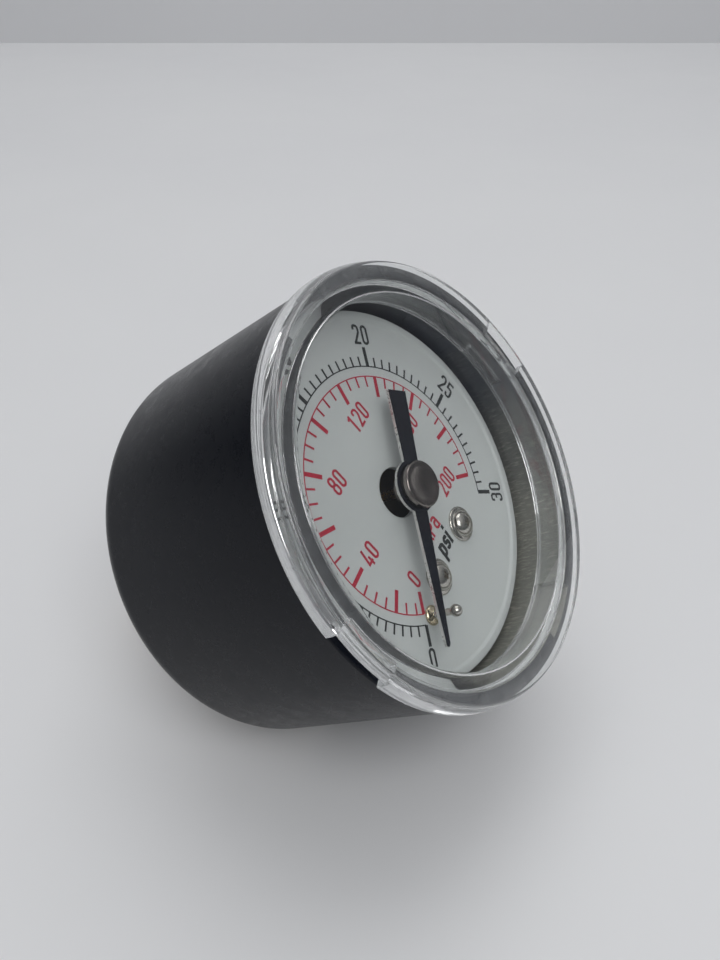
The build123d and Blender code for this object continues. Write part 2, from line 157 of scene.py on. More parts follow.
# =============================================================== materials
class Graph:
    """Short-hand for building a node material."""

    def __init__(self, name):
        self.mat = bpy.data.materials.new(name)
        self.mat.use_nodes = True
        self.t = self.mat.node_tree
        for n in list(self.t.nodes):
            self.t.nodes.remove(n)
        self.out = self.t.nodes.new("ShaderNodeOutputMaterial")
        self.coord = self.t.nodes.new("ShaderNodeTexCoord").outputs["Object"]

    def node(self, kind, **props):
        n = self.t.nodes.new(kind)
        for k, v in props.items():
            setattr(n, k, v)
        return n

    def link(self, a, b):
        self.t.links.new(a, b)

    def mapping(self, scale=(1, 1, 1), rot=(0, 0, 0), src=None):
        n = self.node("ShaderNodeMapping")
        n.inputs["Scale"].default_value = scale
        n.inputs["Rotation"].default_value = rot
        self.link(src or self.coord, n.inputs["Vector"])
        return n.outputs["Vector"]

    def noise(self, scale, detail=4.0, rough=0.55, vec=None, distortion=0.0):
        n = self.node("ShaderNodeTexNoise")
        n.inputs["Scale"].default_value = scale
        n.inputs["Detail"].default_value = detail
        n.inputs["Roughness"].default_value = rough
        n.inputs["Distortion"].default_value = distortion
        self.link(vec or self.coord, n.inputs["Vector"])
        return n.outputs["Fac"]

    def voronoi(self, scale, vec=None, feature="F1", out="Distance"):
        n = self.node("ShaderNodeTexVoronoi", feature=feature)
        n.inputs["Scale"].default_value = scale
        self.link(vec or self.coord, n.inputs["Vector"])
        return n.outputs[out]

    def ramp(self, fac, stops):
        n = self.node("ShaderNodeValToRGB")
        e = n.color_ramp.elements
        while len(e) < len(stops):
            e.new(0.5)
        for i, (p, c) in enumerate(stops):
            e[i].position = p
            e[i].color = c if len(c) == 4 else (*c, 1)
        self.link(fac, n.inputs["Fac"])
        return n.outputs["Color"]

    def span(self, fac, a, b, c, d):
        n = self.node("ShaderNodeMapRange")
        n.inputs["From Min"].default_value = a
        n.inputs["From Max"].default_value = b
        n.inputs["To Min"].default_value = c
        n.inputs["To Max"].default_value = d
        self.link(fac, n.inputs["Value"])
        return n.outputs["Result"]

    def maths(self, op, a, b=None, clamp=False):
        n = self.node("ShaderNodeMath", operation=op, use_clamp=clamp)
        for i, v in enumerate((a, b)):
            if v is None:
                continue
            if isinstance(v, (int, float)):
                n.inputs[i].default_value = v
            else:
                self.link(v, n.inputs[i])
        return n.outputs[0]

    def mix(self, fac, a, b, blend="MIX"):
        n = self.node("ShaderNodeMix", data_type="RGBA", blend_type=blend)
        for sock, v in ((n.inputs["Factor"], fac), (n.inputs[6], a), (n.inputs[7], b)):
            if isinstance(v, (int, float)):
                sock.default_value = v
            elif isinstance(v, tuple):
                sock.default_value = v if len(v) == 4 else (*v, 1)
            else:
                self.link(v, sock)
        return n.outputs[2]

    def bump(self, height, strength, distance, normal=None):
        n = self.node("ShaderNodeBump")
        n.inputs["Strength"].default_value = strength
        n.inputs["Distance"].default_value = distance
        self.link(height, n.inputs["Height"])
        if normal is not None:
            self.link(normal, n.inputs["Normal"])
        return n.outputs["Normal"]

    def principled(self, color, rough, metallic=0.0, normal=None, **consts):
        n = self.node("ShaderNodeBsdfPrincipled")
        for key, v in (("Base Color", color), ("Roughness", rough)):
            if isinstance(v, (int, float)):
                n.inputs[key].default_value = v
            elif isinstance(v, tuple):
                n.inputs[key].default_value = v if len(v) == 4 else (*v, 1)
            else:
                self.link(v, n.inputs[key])
        n.inputs["Metallic"].default_value = metallic
        if normal is not None:
            self.link(normal, n.inputs["Normal"])
        for key, v in consts.items():
            n.inputs[key.replace("_", " ")].default_value = v
        return n.outputs["BSDF"]

    def done(self, shader):
        self.link(shader, self.out.inputs["Surface"])
        return self.mat


def case_material():
    """Satin black enamel on pressed steel: fine grain, faint mottling, a few rubbed specks."""
    g = Graph("case_black_enamel")
    fine = g.noise(9000, 3, 0.6)
    mid = g.noise(700, 4, 0.55)
    wide = g.noise(90, 3, 0.5)
    color = g.ramp(wide, [(0.35, (0.0026, 0.0036, 0.0070)), (0.68, (0.0042, 0.0054, 0.0092))])
    specks = g.voronoi(420)
    speck = g.maths("MULTIPLY", g.span(specks, 0.045, 0.02, 0.0, 1.0), g.span(g.noise(150, 2), 0.60, 0.66, 0.0, 1.0))
    color = g.mix(g.maths("MULTIPLY", speck, 0.5, True), color, (0.16, 0.17, 0.18))
    rough = g.maths("ADD", g.span(mid, 0.3, 0.7, 0.25, 0.34), g.span(fine, 0.3, 0.7, -0.03, 0.03))
    n1 = g.bump(fine, 0.25, 0.00003)
    n2 = g.bump(mid, 0.07, 0.00008, n1)
    return g.done(g.principled(color, rough, normal=n2, IOR=1.28))


def inner_material():
    """The case's bore: paint over drawn steel with fine slanted draw marks, dark above and painted lighter olive grey
    on its lower side as painted light.
    """
    g = Graph("case_bore_paint")
    streak = g.noise(5200, 3, 0.65, g.mapping((1.0, 0.16, 1.0), (0.0, 0.0, 0.35)))
    wide = g.noise(130, 3, 0.5)
    sides = g.node("ShaderNodeSeparateXYZ")
    g.link(g.coord, sides.inputs[0])
    # painted light: the lower side of the bore and its draw marks are coloured lighter, as where light from above falls
    # on them
    lower_painted_light = g.maths("ADD", g.span(sides.outputs["Z"], -0.002, -0.0155, 0.0, 1.0), g.span(wide, 0.3, 0.7, -0.18, 0.18), True)
    color = g.mix(lower_painted_light, (0.016, 0.020, 0.030), (0.160, 0.158, 0.138))
    color = g.mix(g.maths("MULTIPLY", g.span(streak, 0.52, 0.70, 0.0, 1.0), 0.6), color, g.mix(lower_painted_light, (0.040, 0.044, 0.052), (0.430, 0.420, 0.360)))
    rough = g.span(streak, 0.3, 0.7, 0.26, 0.40)
    return g.done(g.principled(color, rough, normal=g.bump(streak, 0.30, 0.00003), IOR=1.5))


def clear_material():
    """Clear moulded polycarbonate. Lamps reach through it."""
    g = Graph("window_polycarbonate")
    smear = g.noise(160, 3, 0.6, distortion=0.6)
    rough = g.span(smear, 0.40, 0.75, 0.0, 0.045)
    wave = g.noise(70, 2, 0.4)
    normal = g.bump(wave, 0.10, 0.0002)
    glass = g.principled((0.985, 0.992, 0.990), rough, normal=normal, IOR=1.585, Transmission_Weight=1.0)
    # the thick ring is slightly milky: moulded-in stress and a little dust in its corners
    flat = g.mapping((1.0, 0.0, 1.0))
    radius = g.node("ShaderNodeVectorMath", operation="LENGTH")
    g.link(flat, radius.inputs[0])
    haze = g.node("ShaderNodeBsdfDiffuse")
    haze.inputs["Color"].default_value = (0.78, 0.80, 0.81, 1)
    amount = g.maths("MULTIPLY", g.span(radius.outputs["Value"], 0.0180, 0.0200, 0.0, 0.085), g.span(g.noise(900, 4, 0.6), 0.35, 0.65, 0.65, 1.25))
    body = g.node("ShaderNodeMixShader")
    g.link(amount, body.inputs[0])
    g.link(glass, body.inputs[1])
    g.link(haze.outputs[0], body.inputs[2])
    see = g.node("ShaderNodeBsdfTransparent")
    see.inputs["Color"].default_value = (0.89, 0.90, 0.90, 1)
    path = g.node("ShaderNodeLightPath")
    mix = g.node("ShaderNodeMixShader")
    g.link(path.outputs["Is Shadow Ray"], mix.inputs[0])
    g.link(body.outputs[0], mix.inputs[1])
    g.link(see.outputs[0], mix.inputs[2])
    return g.done(mix.outputs[0])


def dial_material():
    g = Graph("dial_white_enamel")
    fine = g.noise(6000, 3, 0.6)
    wide = g.noise(110, 4, 0.55)
    color = g.ramp(wide, [(0.30, (0.470, 0.492, 0.488)), (0.70, (0.500, 0.522, 0.517))])
    rough = g.span(g.noise(900, 3), 0.3, 0.7, 0.42, 0.54)
    return g.done(g.principled(color, rough, normal=g.bump(fine, 0.10, 0.00002), IOR=1.45))


def ink_material(name, a, b):
    g = Graph(name)
    color = g.mix(g.span(g.noise(2500, 3), 0.35, 0.65, 0.0, 1.0), a, b)
    rough = g.span(g.noise(5000, 2), 0.3, 0.7, 0.42, 0.58)
    return g.done(g.principled(color, rough, normal=g.bump(g.noise(8000, 2), 0.12, 0.00002)))


def pointer_material():
    g = Graph("pointer_black_paint")
    color = g.mix(g.span(g.noise(600, 3), 0.35, 0.65, 0.0, 1.0), (0.0050, 0.0062, 0.0110), (0.0080, 0.0092, 0.0150))
    rough = g.span(g.noise(3000, 3), 0.3, 0.7, 0.46, 0.60)
    return g.done(g.principled(color, rough, normal=g.bump(g.noise(7000, 3), 0.2, 0.00002), IOR=1.32))


def metal_material(name, dark, light, r0, r1, stretch=(1, 1, 1), fine=4000, bump=0.15, distance=0.00002, stain=None):
    """Metal with a directional or even grain, patchy roughness and a faint tarnish."""
    g = Graph(name)
    vec = g.mapping(stretch)
    grain = g.noise(fine, 4, 0.6, vec)
    wide = g.noise(350, 3, 0.5)
    color = g.mix(g.span(wide, 0.3, 0.7, 0.0, 1.0), dark, light)
    if stain:
        color = g.mix(g.maths("MULTIPLY", g.span(g.noise(900, 4, 0.65), 0.55, 0.75, 0.0, 1.0), 0.45), color, stain)
    rough = g.maths("ADD", g.span(grain, 0.25, 0.75, r0, r1), g.span(wide, 0.3, 0.7, -0.04, 0.04), True)
    return g.done(g.principled(color, rough, 1.0, g.bump(grain, bump, distance)))


def turned_material(name, dark, light, r0, r1, pitch=0.00012, bump=0.2, x=0.0, z=0.0):
    """Metal turned on a lathe about an axis along Y through (x, z) mm: fine concentric rings."""
    g = Graph(name)
    shift = g.node("ShaderNodeVectorMath", operation="SUBTRACT")
    shift.inputs[1].default_value = (x * MM, 0, z * MM)
    g.link(g.coord, shift.inputs[0])
    split = g.node("ShaderNodeSeparateXYZ")
    g.link(shift.outputs[0], split.inputs[0])
    xx = g.maths("MULTIPLY", split.outputs["X"], split.outputs["X"])
    zz = g.maths("MULTIPLY", split.outputs["Z"], split.outputs["Z"])
    radius = g.maths("SQRT", g.maths("ADD", xx, zz))
    both = g.maths("ADD", radius, g.maths("MULTIPLY", split.outputs["Y"], 0.9))
    rings = g.noise(1.0, 3, 0.7, vec=None)
    comb = g.node("ShaderNodeCombineXYZ")
    g.link(g.maths("MULTIPLY", both, 1.0 / pitch), comb.inputs[0])
    rings = g.noise(1.0, 3, 0.7, vec=comb.outputs[0])
    wide = g.noise(500, 3, 0.5)
    color = g.mix(g.span(wide, 0.3, 0.7, 0.0, 1.0), dark, light)
    rough = g.span(rings, 0.3, 0.7, r0, r1)
    return g.done(g.principled(color, rough, 1.0, g.bump(rings, bump, 0.000015)))


M_CASE = case_material()
M_INNER = inner_material()
M_CLEAR = clear_material()
M_DIAL = dial_material()
M_BLACK = ink_material("print_black_ink", (0.010, 0.012, 0.013), (0.018, 0.021, 0.022))
M_RED = ink_material("print_red_ink", (0.360, 0.012, 0.034), (0.430, 0.018, 0.045))
M_POINTER = pointer_material()
M_EDGE = metal_material("pointer_cut_edge", (0.62, 0.61, 0.59), (0.74, 0.73, 0.71), 0.22, 0.36, fine=5000, bump=0.25)
M_NICKEL = metal_material("bright_nickel", (0.60, 0.58, 0.53), (0.70, 0.67, 0.62), 0.10, 0.22, fine=3000, bump=0.10)
M_PIN = metal_material("stop_pin_brass", (0.66, 0.57, 0.40), (0.76, 0.67, 0.50), 0.12, 0.26, fine=3500, bump=0.14)
M_HUB = turned_material("hub_turned_nickel", (0.25, 0.225, 0.215), (0.34, 0.305, 0.285), 0.14, 0.26, pitch=0.00007, bump=0.07)
M_BRASS = metal_material("turned_brass", (0.64, 0.45, 0.19), (0.76, 0.57, 0.27), 0.20, 0.36, fine=2500, bump=0.16, stain=(0.30, 0.18, 0.08))
M_STEM = turned_material("stem_turned_brass", (0.62, 0.44, 0.19), (0.76, 0.57, 0.27), 0.18, 0.34)
M_PLATE = metal_material("brushed_brass_plate", (0.66, 0.49, 0.22), (0.78, 0.61, 0.31), 0.24, 0.42, stretch=(1, 1, 0.06), fine=5000, bump=0.22, stain=(0.34, 0.22, 0.10))
def oiled(mat, near_mm, far_mm):
    """Painted shade: darkens a plate round the arbor on the gauge's axis, where it lies in shade under the dial's
    centre hole.
    """
    t = mat.node_tree
    bsdf = next(n for n in t.nodes if n.type == "BSDF_PRINCIPLED")
    src = bsdf.inputs["Base Color"].links[0].from_socket
    g = Graph.__new__(Graph)
    g.mat, g.t = mat, t
    g.coord = next(n for n in t.nodes if n.type == "TEX_COORD").outputs["Object"]
    sp = g.node("ShaderNodeSeparateXYZ")
    g.link(g.coord, sp.inputs[0])
    rr = g.maths("SQRT", g.maths("ADD", g.maths("MULTIPLY", sp.outputs["X"], sp.outputs["X"]), g.maths("MULTIPLY", sp.outputs["Z"], sp.outputs["Z"])))
    rr = g.maths("ADD", rr, g.span(g.noise(700, 3), 0.3, 0.7, -0.0004, 0.0004))
    g.link(g.mix(g.span(rr, near_mm * MM, far_mm * MM, 0.92, 0.0), src, (0.020, 0.019, 0.020)), bsdf.inputs["Base Color"])
    return mat


# painted shade: the front plate goes near-black round the arbor, seen in shade through the dial's centre hole
M_FRONT = oiled(metal_material("front_plate_brass_painted_shade", (0.66, 0.49, 0.22), (0.78, 0.61, 0.31), 0.30, 0.46, stretch=(1, 1, 0.06), fine=5000, bump=0.22), 3.4, 5.4)
M_BRONZE = metal_material("phosphor_bronze", (0.52, 0.30, 0.15), (0.66, 0.41, 0.22), 0.22, 0.38, fine=2200, bump=0.14, stain=(0.22, 0.11, 0.06))
M_STEEL = metal_material("zinc_steel", (0.48, 0.49, 0.50), (0.62, 0.62, 0.61), 0.20, 0.36, fine=3200, bump=0.18, stain=(0.30, 0.29, 0.27))


# ==================================================================== meshes
def support(pts, closed, gap=0.025, least=0.3):
    """Adds points close to both ends of each long straight run, so smooth shading stays flat between them."""
    out = []
    n = len(pts)
    for i in range(n if closed else n - 1):
        a, b = np.array(pts[i], float), np.array(pts[(i + 1) % n], float)
        out.append(tuple(a))
        d = np.linalg.norm(b - a)
        if d > least:
            out.append(tuple(a + (b - a) * gap / d))
            out.append(tuple(b - (b - a) * gap / d))
    if not closed:
        out.append(tuple(pts[-1]))
    return out


def finish_mesh(bm, name, mats, sharp, merge=1e-7, y_fix=True):
    bmesh.ops.remove_doubles(bm, verts=bm.verts, dist=merge)
    bmesh.ops.dissolve_degenerate(bm, edges=bm.edges, dist=merge * 0.5)
    flat = [f for f in bm.faces if f.calc_area() < 1e-15]
    if flat:
        bmesh.ops.delete(bm, geom=flat, context="FACES_ONLY")
    bmesh.ops.recalc_face_normals(bm, faces=bm.faces)
    me = bpy.data.meshes.new(name)
    bm.to_mesh(me)
    bm.free()
    for m in mats:
        me.materials.append(m)
    for p in me.polygons:
        p.use_smooth = True
    me.set_sharp_from_angle(angle=math.radians(sharp))
    ob = bpy.data.objects.new(name, me)
    bpy.context.scene.collection.objects.link(ob)
    return ob


def lathe(name, cols, mats, closed=True, sharp=42, face_mat=None, ring=True):
    """cols is a list of (angle in degrees, profile of (r, y) mm); neighbours are joined, and the last to the first if ring."""
    bm = bmesh.new()
    rows = []
    for a, prof in cols:
        c, s = math.cos(math.radians(a)), math.sin(math.radians(a))
        rows.append([bm.verts.new((r * c * MM, y * MM, r * s * MM)) for r, y in prof])
    n, m = len(rows), len(rows[0])
    for i in range(n if ring else n - 1):
        A, B = rows[i], rows[(i + 1) % n]
        for j in range(m if closed else m - 1):
            k = (j + 1) % m
            try:
                f = bm.faces.new((A[j], A[k], B[k], B[j]))
                if face_mat:
                    f.material_index = face_mat(j)
            except ValueError:
                pass
    if not ring:
        for A in (rows[0], rows[-1]):
            try:
                bm.faces.new(A)
            except ValueError:
                pass
    return finish_mesh(bm, name, mats, sharp)


def even(n, prof):
    return [(360.0 * i / n, prof) for i in range(n)]


def arc(cx, cy, r, a0, a1, n):
    return [(cx + r * math.cos(math.radians(a0 + (a1 - a0) * i / n)), cy + r * math.sin(math.radians(a0 + (a1 - a0) * i / n))) for i in range(n + 1)]


def stepped(breaks, step, make):
    """Columns every step degrees, with two at each break angle: one as just before it and one as just after."""
    breaks = sorted(b % 360 for b in breaks)
    angles = sorted(set(round(i * step, 6) for i in range(int(round(360 / step)))) - set(round(b, 6) for b in breaks))
    seq = [(a, 0) for a in angles] + [(b, -1) for b in breaks] + [(b, 1) for b in breaks]
    seq.sort(key=lambda t: (t[0], t[1]))
    return [(a, make((a + side * 1e-4) % 360)) for a, side in seq]


def near(a, centre, half):
    return abs((a - centre + 180) % 360 - 180) < half


def moved(ob, x=0.0, y=0.0, z=0.0, rot_y=0.0):
    ob.data.transform(Matrix.Translation((x * MM, y * MM, z * MM)) @ Matrix.Rotation(math.radians(rot_y), 4, "Y"))
    return ob


def joined(name, obs):
    """One object from several with the same materials."""
    bm = bmesh.new()
    for o in obs:
        bm.from_mesh(o.data)
    me = bpy.data.meshes.new(name)
    bm.to_mesh(me)
    bm.free()
    for m in obs[0].data.materials:
        me.materials.append(m)
    for o in obs:
        old = o.data
        bpy.data.objects.remove(o)
        bpy.data.meshes.remove(old)
    ob = bpy.data.objects.new(name, me)
    bpy.context.scene.collection.objects.link(ob)
    return ob


def cut(ob, cutters, sharp=42):
    """Takes the cutters out of ob and removes them."""
    for c in cutters:
        mod = ob.modifiers.new("cut", "BOOLEAN")
        mod.operation = "DIFFERENCE"
        mod.solver = "EXACT"
        mod.object = c
    dg = bpy.context.evaluated_depsgraph_get()
    dg.update()
    me = bpy.data.meshes.new_from_object(ob.evaluated_get(dg))
    ob.modifiers.clear()
    mats = list(ob.data.materials)
    old = ob.data
    me.name = ob.name
    ob.data = me
    kept = [p.material_index for p in me.polygons]
    me.materials.clear()
    for m in mats:
        me.materials.append(m)
    bpy.data.meshes.remove(old)
    for p, k in zip(me.polygons, kept):
        p.use_smooth = True
        p.material_index = min(k, len(mats) - 1)
    me.set_sharp_from_angle(angle=math.radians(sharp))
    for c in cutters:
        old = c.data
        bpy.data.objects.remove(c)
        bpy.data.meshes.remove(old)
    return ob


def rod(r, y0, y1, x=0.0, z=0.0, n=48):
    return moved(lathe("rod", even(n, [(0, y0), (r, y0), (r, y1), (0, y1)]), [M_STEEL], closed=False), x, 0, z)


def pol(r, a):
    return r * math.cos(math.radians(a)), r * math.sin(math.radians(a))


# ----------------------------------------------------------------- the case
CASE_R, CASE_IR, CASE_BACK, CASE_RIM = 20.85, 19.4, -9.5, -34.28
GROOVE_R, GROOVE_Y0, GROOVE_Y1 = 20.15, -31.75, -33.0


def case_profile(a):
    groove = any(-8.5 < (a - c + 180) % 360 - 180 < 99.5 for c in (0, 180))
    entry = any(near(a, c, 9.5) for c in (90, 270))
    g = GROOVE_R if groove else CASE_IR
    e = GROOVE_R if entry else CASE_IR
    p = [(7.35, CASE_BACK), (17.9, CASE_BACK)] + arc(CASE_R - 2.2, CASE_BACK - 2.2, 2.2, 90, 0, 12)
    p = support(p, False)
    p += [(CASE_R, CASE_BACK - 2.6), (CASE_R, CASE_RIM + 0.3)] + arc(CASE_R - 0.25, CASE_RIM + 0.25, 0.25, 0, -90, 4)
    p += [(e + 0.16, CASE_RIM), (e + 0.05, CASE_RIM + 0.04), (e, CASE_RIM + 0.16), (e, GROOVE_Y1), (g, GROOVE_Y1), (g, GROOVE_Y0), (CASE_IR, GROOVE_Y0), (CASE_IR, GROOVE_Y0 + 0.05)]
    p += [(CASE_IR, CASE_BACK - 2.4)] + arc(CASE_IR - 1.3, CASE_BACK - 2.3, 1.3, 0, 90, 6) + [(7.2, CASE_BACK - 1.0), (7.2, CASE_BACK - 0.15)]
    return p


CASE_POINTS = len(case_profile(0.0))
case = lathe("case_shell", stepped([-8.5, 80.5, 99.5, 171.5, 260.5, 279.5], 1.0, case_profile), [M_CASE, M_INNER], sharp=38, face_mat=lambda j: 1 if CASE_POINTS - 17 <= j <= CASE_POINTS - 4 else 0)
case = cut(case, [rod(1.4, -8.0, -12.0, sx * 9.6, 0) for sx in (-1, 1)], sharp=38)
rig.ride(case, "gauge")
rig.replaces(case, "case")
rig.slot(case, "case_black")

# --------------------------------------------------------------- the window
WF, WB, FB = -36.655, -34.86, -34.33
FR, FFR, SR, SIR, SE = 21.245, 20.82, 19.25, 18.1, -31.9
LUG_R, LUG_Y0, LUG_Y1 = 20.0, -31.98, -32.75


def wall(y):
    """Radius of the flange's outer wall: nearly straight behind, rounding over towards the front."""
    t = (y - (WF + 0.35)) / ((FB - 0.15) - (WF + 0.35))
    return FFR + (FR - FFR) * (1 - (1 - min(max(t, 0.0), 1.0)) ** 2.4)


def window_profile(a):
    recess = any(near(a, c, 8.5) for c in (0, 180))
    lug = any(near(a, c, 7.5) for c in (0, 180))
    back = FB - (1.0 if recess else 0.0)
    r_back = min(wall(back - 0.15), 21.04) if recess else wall(back - 0.15)
    lr = LUG_R if lug else SR
    bev = 0.06 if recess else 0.15
    p = [(0, WF), (FFR - 0.36, WF)] + arc(FFR - 0.35, WF + 0.35, 0.35, -82, -8, 6)
    p = support(p, False)
    y0, y1 = WF + 0.375, back - bev - 0.15
    p += [(min(wall(y), r_back - 0.002) if recess else wall(y), y) for y in [y0 + (y1 - y0) * (k / 6) ** 1.3 for k in range(7)]] + [(min(wall(back - bev - 0.03), r_back - 0.001), back - bev - 0.03), (r_back, back - bev), (r_back - bev * 0.3, back - bev * 0.3), (r_back - bev, back), (r_back - bev - 0.05, back)]
    p += [(SR + 0.07, back), (SR + 0.02, back + 0.02), (SR, back + 0.07), (SR, LUG_Y1 - 0.03), (SR, LUG_Y1), (lr, LUG_Y1), (lr, LUG_Y0), (SR, LUG_Y0)]
    p += [(SR, SE - 0.12), (SR - 0.04, SE - 0.03), (SR - 0.13, SE), (SIR + 0.13, SE), (SIR + 0.04, SE - 0.03), (SIR, SE - 0.13), (SIR, SE - 0.18)]
    p += [(SIR, WB + 0.33)] + arc(SIR - 0.3, WB + 0.3, 0.3, 0, -90, 6) + [(SIR - 0.35, WB), (0, WB)]
    return p


window = lathe("window_cap", stepped([-8.5, 8.5, -7.5, 7.5, 171.5, 188.5, 172.5, 187.5], 1.0, window_profile), [M_CLEAR], closed=False, sharp=48)
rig.ride(window, "window")
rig.replaces(window, "window")
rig.slot(window, "window_clear")

# ----------------------------------------------------------------- the dial
DY = -28.7
SCREW_X, SCREW_Z = 3.65, -8.5
PIN_X, PIN_Z = pol(12.2, 231.3)
dial_prof = [(2.5, DY + 0.5), (2.5, DY + 0.06), (2.53, DY + 0.015), (2.58, DY)]
dial_prof += [(2.65, DY), (17.55, DY), (17.70, DY - 0.03), (17.80, DY - 0.13), (17.90, DY - 0.20), (18.0, DY - 0.22), (18.1, DY - 0.22), (18.55, DY - 0.22), (18.66, DY - 0.18), (18.695, DY - 0.1), (18.695, DY + 0.42), (18.6, DY + 0.5), (18.5, DY + 0.5)]
dial = lathe("dial_plate", even(360, dial_prof), [M_DIAL], sharp=45)
dial = cut(dial, [rod(1.1, DY + 2, DY - 2, sx * SCREW_X, SCREW_Z) for sx in (-1, 1)] + [rod(0.4, DY + 2, DY - 2, PIN_X, PIN_Z)], sharp=45)
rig.ride(dial, "gauge")
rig.replaces(dial, "dial")
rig.slot(dial, "dial_white")

# ------------------------------------------------------------ the dial print
PRINT_Y = DY - 0.018


def fillet_path(pts, radii, closed=False, n=8):
    """Polyline through pts with rounded corners."""
    out = []
    m = len(pts)
    for i in range(m):
        p = np.array(pts[i], float)
        r = radii[i] if isinstance(radii, (list, tuple)) else radii
        if (not closed and i in (0, m - 1)) or r <= 0:
            out.append(tuple(p))
            continue
        a, b = np.array(pts[i - 1], float), np.array(pts[(i + 1) % m], float)
        u, v = a - p, b - p
        lu, lv = np.linalg.norm(u), np.linalg.norm(v)
        u, v = u / lu, v / lv
        ang = math.acos(max(-1, min(1, float(u @ v))))
        t = r / math.tan(ang / 2)
        t = min(t, lu * 0.499, lv * 0.499)
        r = t * math.tan(ang / 2)
        c = p + (u + v) / np.linalg.norm(u + v) * (r / math.sin(ang / 2))
        s, e = p + u * t - c, p + v * t - c
        a0, a1 = math.atan2(s[1], s[0]), math.atan2(e[1], e[0])
        d = (a1 - a0 + math.pi) % (2 * math.pi) - math.pi
        for k in range(n + 1):
            q = a0 + d * k / n
            out.append((c[0] + r * math.cos(q), c[1] + r * math.sin(q)))
    keep = [out[0]]
    for q in out[1:]:
        if math.hypot(q[0] - keep[-1][0], q[1] - keep[-1][1]) > 1e-5:
            keep.append(q)
    if closed and math.hypot(keep[0][0] - keep[-1][0], keep[0][1] - keep[-1][1]) < 1e-5:
        keep.pop()
    return keep


def glyph(ch, W, H, s):
    """Centre lines of a condensed sans character in a W by H box, with its stroke s: a list of (points, closed)."""
    a = s / 2
    x0, x1, y0, y1 = a, W - a, a, H - a
    cx, r = W / 2, (W - s) / 2
    e = 0.21 * H
    if ch == "0":
        return [(fillet_path([(x0, y0), (x1, y0), (x1, y1), (x0, y1)], r, True, 10), True)]
    if ch == "1":
        xs = W * 0.60
        return [([(xs, 0), (xs, H)], False), ([(xs - 0.40 * W, H * 0.80), (xs + 0.05 * W, H - a * 0.9)], False)]
    if ch == "2":
        top = fillet_path([(x0, y1 - e), (x0, y1), (x1, y1), (x1, H * 0.60), (x0 + 0.02, y0)], [0, r, r, r * 1.2, 0], False, 10)
        return [(top, False), ([(0, y0), (W, y0)], False)]
    if ch == "3":
        ym = H * 0.53
        return [(fillet_path([(x0, y1 - e), (x0, y1), (x1, y1), (x1, ym), (cx - 0.12 * W, ym)], [0, r, r, r * 0.8, 0]), False),
                (fillet_path([(cx - 0.12 * W, ym), (x1, ym), (x1, y0), (x0, y0), (x0, y0 + e)], [0, r * 0.8, r, r, 0]), False)]
    if ch == "4":
        yb = H * 0.22
        return [([(W * 0.52, H), (x0 * 0.9, yb), (W, yb)], False), ([(W * 0.74, 0), (W * 0.74, H * 0.50)], False)]
    if ch == "5":
        yb = H * 0.60
        return [(fillet_path([(W * 0.97, y1), (x0, y1), (x0, yb), (x1, yb), (x1, y0), (x0, y0), (x0, y0 + e)], [0, 0, 0, r, r, r, 0]), False)]
    if ch == "6":
        yb = H * 0.58
        return [(fillet_path([(x1, y1 - e), (x1, y1), (x0, y1), (x0, y0), (x1, y0), (x1, yb), (x0, yb)], [0, r, r, r, r, r, 0]), False)]
    if ch == "8":
        ym = H * 0.53
        return [(fillet_path([(x0 + 0.03, ym), (x1 - 0.03, ym), (x1 - 0.03, y1), (x0 + 0.03, y1)], r * 0.95, True, 8), True),
                (fillet_path([(x0, y0), (x1, y0), (x1, ym), (x0, ym)], r, True, 8), True)]
    X = H  # the letters' x-height box is passed as H
    if ch == "k":
        return [([(x0, 0), (x0, X * 1.38)], False), ([(W * 0.97, X), (x0 + a * 0.8, X * 0.42)], False), ([(x0 + W * 0.28, X * 0.60), (W * 0.99, 0)], False)]
    if ch == "P":
        C = X * 1.38
        return [([(x0, 0), (x0, C)], False), (fillet_path([(x0, C - a), (x1, C - a), (x1, C * 0.44), (x0, C * 0.44)], [0, r, r, 0]), False)]
    if ch == "a":
        return [(fillet_path([(x0 + 0.03, X - e * 0.9), (x0 + 0.03, X - a), (x1, X - a), (x1, 0)], [0, r, r, 0]), False),
                (fillet_path([(x1, X * 0.60), (x0, X * 0.60), (x0, a), (x1, a)], [0, r * 0.9, r * 0.9, 0]), False)]
    if ch == "p":
        return [([(x0, -X * 0.36), (x0, X)], False), (fillet_path([(x0, X - a), (x1, X - a), (x1, a), (x0, a)], [0, r, r, 0]), False)]
    if ch == "s":
        return [(fillet_path([(x1, X - e * 1.35), (x1, X - a), (x0, X - a), (x0, X * 0.52), (x1, X * 0.52), (x1, a), (x0, a), (x0, e * 1.35)], [0, r, r, r * 0.75, r * 0.75, r, r, 0]), False)]
    if ch == "i":
        return [([(x0, 0), (x0, X)], False), ([(x0, X * 1.22), (x0, X * 1.22 + s * 1.05)], False)]
    raise ValueError(ch)


